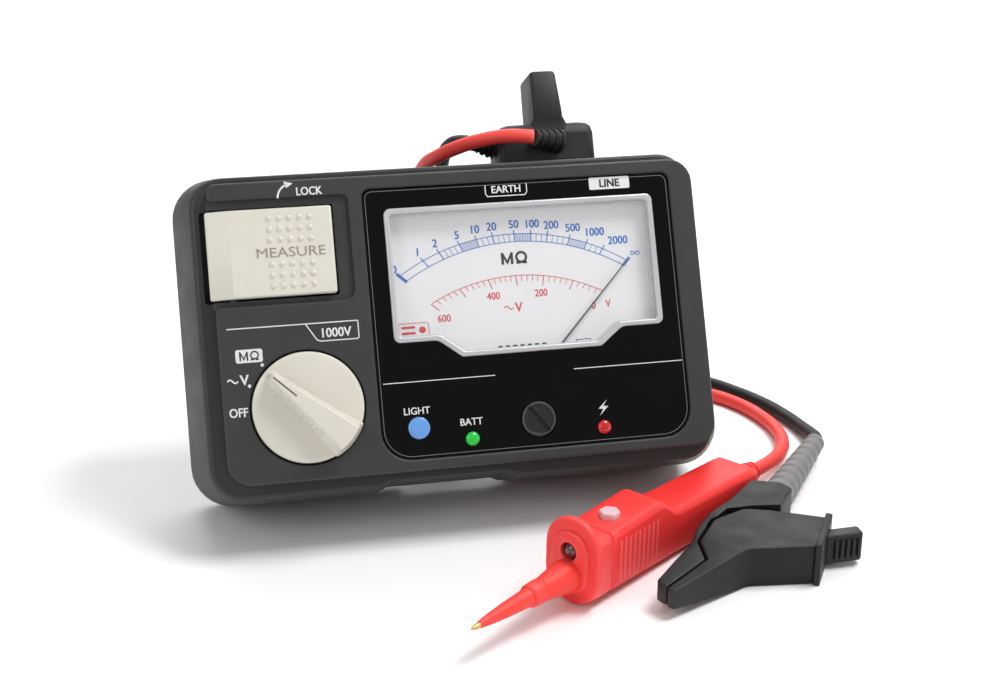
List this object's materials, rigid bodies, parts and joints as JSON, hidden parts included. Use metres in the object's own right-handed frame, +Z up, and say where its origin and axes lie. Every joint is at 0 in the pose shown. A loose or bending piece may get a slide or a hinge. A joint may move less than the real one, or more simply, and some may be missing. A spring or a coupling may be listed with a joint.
{
  "type": "insulation resistance tester",
  "caption": "Hand-held analog insulation tester leaning on a tilt stand, with a meter window, lift key, selector knob and a plug-in set of line probe and earth clip leads.",
  "frame": {"origin": "middle of the bounding box of the tester, probe and clip seen from above, on the table", "axes": "+X to the right as the tester is read, +Y away from the reader, +Z up; the tester leans back 25.8 degrees on its stand"},
  "size_m": [0.2034, 0.2361, 0.123],
  "materials": {
    "case_plastic": "fine texture",
    "black_panel": "gloss",
    "ivory_plastic": "satin",
    "dark_trim": "satin",
    "window_trim": "polished",
    "clear_window": "clear",
    "scale_paint": "satin",
    "pointer_paint": "matt",
    "copper_winding": "lacquered",
    "steel": "plain",
    "brass": "plain",
    "switch_plastic": "plain",
    "button_blue": "gloss",
    "probe_button_pink": "satin",
    "led_green": "gloss",
    "led_red": "gloss",
    "lamp_clear": "gloss",
    "board": "lacquered",
    "transformer_core": "plain",
    "cell_sleeve": "gloss",
    "red_rubber": "satin",
    "black_rubber": "satin",
    "grey_rubber": "satin"
  },
  "bodies": {
    "tester": {"front_case": "case_plastic", "rear_case": "case_plastic", "case_screws": "steel", "front_panel": "black_panel", "window_frame": "window_trim", "window_lens": "clear_window", "scale_plate": "scale_paint", "meter_yoke": "steel", "meter_core": "steel", "meter_frame": "brass", "key_pin": "steel", "key_spring": "steel", "measure_switch": "switch_plastic", "rotary_switch": "switch_plastic", "light_switch": "switch_plastic", "battery_led": "led_green", "warning_led": "led_red", "display_board": "board", "main_board": "board", "hv_transformer": "transformer_core", "terminal_block": "switch_plastic", "terminal_sockets": "brass", "battery_cover": "case_plastic", "battery_cover_screw": "steel", "batteries": "cell_sleeve", "battery_contacts": "steel", "stand_pin": "steel", "plug_body": "black_rubber", "plug_pins": "brass", "plug_strain_reliefs": "black_rubber", "red_lead_upper": "red_rubber", "red_lead_coil": "red_rubber", "red_lead_lower": "red_rubber", "black_lead_upper": "black_rubber", "black_lead_coil": "black_rubber", "black_lead_lower": "black_rubber", "coil_ties": "black_rubber", "probe_nose": "red_rubber", "probe_handle": "red_rubber", "probe_tip_sleeve": "red_rubber", "probe_tip": "brass", "probe_switch": "switch_plastic", "probe_lamp": "lamp_clear", "probe_board": "board", "clip_rear_lever": "black_rubber", "clip_pin": "steel", "clip_spring": "steel", "clip_rear_teeth": "steel", "clip_strain_relief": "grey_rubber"},
    "meter_needle": {"pointer": "pointer_paint", "moving_coil": "copper_winding"},
    "zero_adjust": {"zero_adjust_screw": "dark_trim"},
    "measure_key_body": {"measure_key": "ivory_plastic"},
    "selector": {"selector_knob": "ivory_plastic", "selector_shaft": "steel"},
    "light_button_body": {"light_button": "button_blue"},
    "probe_button_body": {"probe_button": "probe_button_pink"},
    "clip_jaw": {"clip_front_lever": "black_rubber", "clip_front_teeth": "steel"},
    "stand": {"tilt_stand": "case_plastic"}
  },
  "joints": [
    {"name": "needle_turn", "type": "hinge", "parent": "tester", "child": "meter_needle", "pos_m": [-0.00003, 0.00199, 0.04299], "axis": [0, -0.9003, 0.4352], "range_deg": [0, 87.2], "stiffness_Nm_per_rad": 0.002},
    {"name": "zero_adjust_turn", "type": "hinge", "parent": "tester", "child": "zero_adjust", "pos_m": [-0.00003, -0.00481, 0.03351], "axis": [0, -0.9003, 0.4352], "range_deg": [-30, 30]},
    {"name": "measure_key_swing", "type": "hinge", "parent": "tester", "child": "measure_key_body", "pos_m": [-0.08483, 0.02243, 0.07999], "axis": [0, -0.4352, -0.9003], "range_deg": [-4, 15], "stiffness_Nm_per_rad": 0.5},
    {"name": "selector_turn", "type": "hinge", "parent": "tester", "child": "selector", "pos_m": [-0.06643, -0.00184, 0.04196], "axis": [0, -0.9003, 0.4352], "range_deg": [0, 46]},
    {"name": "light_button_press", "type": "slide", "parent": "tester", "child": "light_button_body", "axis": [0, 0.9003, -0.4352], "range_m": [0, 0.0008], "stiffness_N_per_m": 800, "springref_m": -0.0005},
    {"name": "probe_button_press", "type": "slide", "parent": "tester", "child": "probe_button_body", "axis": [-0.0209, -0.0158, -0.9997], "range_m": [0, 0.001], "stiffness_N_per_m": 800, "springref_m": -0.0005},
    {"name": "clip_jaw_open", "type": "hinge", "parent": "tester", "child": "clip_jaw", "pos_m": [0.05217, -0.04467, 0.006], "axis": [0, 0, 1], "range_deg": [0, 20], "stiffness_Nm_per_rad": 0.5, "springref_deg": -17.19},
    {"name": "stand_fold", "type": "hinge", "parent": "tester", "child": "stand", "pos_m": [-0.02083, 0.05133, 0.05591], "axis": [1, 0, 0], "range_deg": [-50, 0]}
  ]
}
